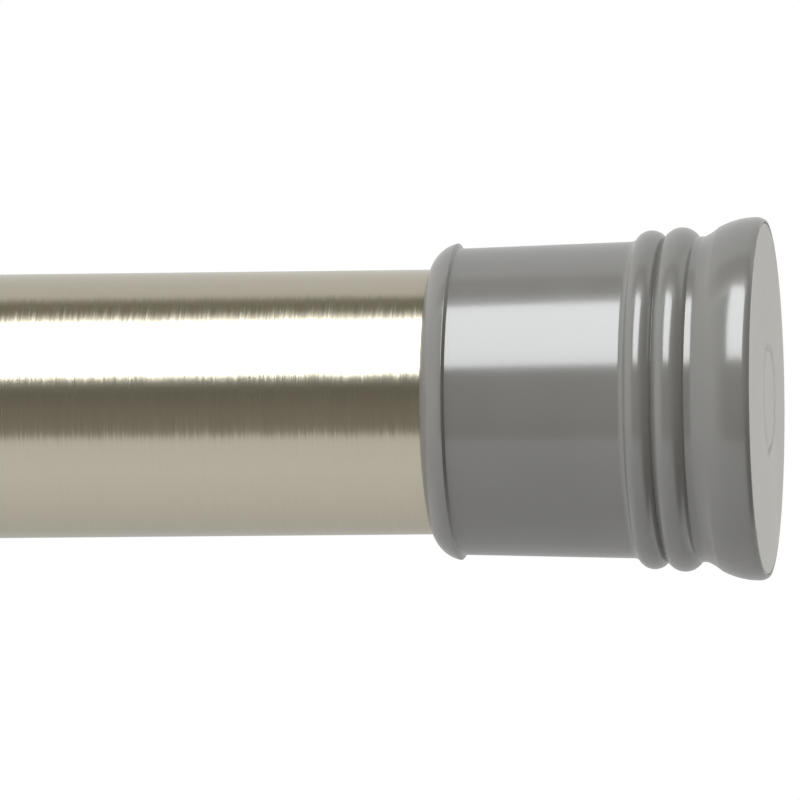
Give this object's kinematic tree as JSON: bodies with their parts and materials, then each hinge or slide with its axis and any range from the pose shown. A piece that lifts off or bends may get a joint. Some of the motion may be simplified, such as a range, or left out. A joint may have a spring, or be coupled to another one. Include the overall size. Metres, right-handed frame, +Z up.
{
  "type": "spring tension rod",
  "caption": "Telescoping tension rod that wedges between two walls: satin metal tubes, flared and ribbed moulded end caps with rubber wall pads, a twist lock and a thrust spring inside.",
  "frame": {"origin": "centre of the flat face of the outer wall pad, the end that the picture shows", "axes": "+X along the rod and out of the outer wall pad, so the rod lies along -X; +Z up as the rod hangs between its walls"},
  "size_m": [0.7096, 0.0348, 0.0348],
  "materials": {
    "satin_nickel": "satin nickel plate, finely brushed round the tube",
    "cap_plastic": "glossy mid grey moulded plastic with a metallic tint",
    "pad_rubber": "soft light warm grey rubber",
    "lock_plastic": "natural nylon, lightly grained",
    "zinc_steel": "bright zinc plated steel",
    "spring_steel": "oiled hard drawn spring wire",
    "buffer_rubber": "black rubber"
  },
  "bodies": {
    "outer": {"outer_tube": "satin_nickel", "outer_end_cap": "cap_plastic", "outer_wall_pad": "pad_rubber", "mouth_guide_bush": "cap_plastic"},
    "lock": {"expander_sleeve": "lock_plastic"},
    "wedge": {"wedge_nut": "lock_plastic"},
    "stem": {"lock_stem": "zinc_steel", "buffer_washer": "buffer_rubber", "spring_seat": "lock_plastic", "seat_washer": "zinc_steel", "seat_screw": "zinc_steel", "rear_cone": "lock_plastic", "cone_pin": "zinc_steel", "stem_stop_nut": "zinc_steel"},
    "inner": {"inner_tube": "satin_nickel", "inner_end_cap": "cap_plastic", "inner_wall_pad": "pad_rubber", "inner_tube_bush": "lock_plastic", "spring_stop_plug": "lock_plastic", "compression_spring": "spring_steel"}
  },
  "joints": [
    {"name": "telescope", "type": "slide", "parent": "outer", "child": "lock", "axis": [-1, 0, 0], "range_m": [-0.1, 0.3064]},
    {"name": "twist_lock", "type": "hinge", "parent": "lock", "child": "stem", "pos_m": [-0.134, 0, 0], "axis": [1, 0, 0], "range_deg": [-720, 0]},
    {"name": "wedge_travel", "type": "slide", "parent": "lock", "child": "wedge", "axis": [1, 0, 0], "range_m": [0, 0.0041]},
    {"name": "thrust_spring", "type": "slide", "parent": "stem", "child": "inner", "axis": [1, 0, 0], "range_m": [0, 0.025], "stiffness_N_per_m": 1950, "springref_m": -0.025, "deforming": ["compression_spring"]}
  ],
  "couplings": [
    {"joint": "wedge_travel", "follows": "twist_lock", "m_per_rad": -0.00031831}
  ]
}
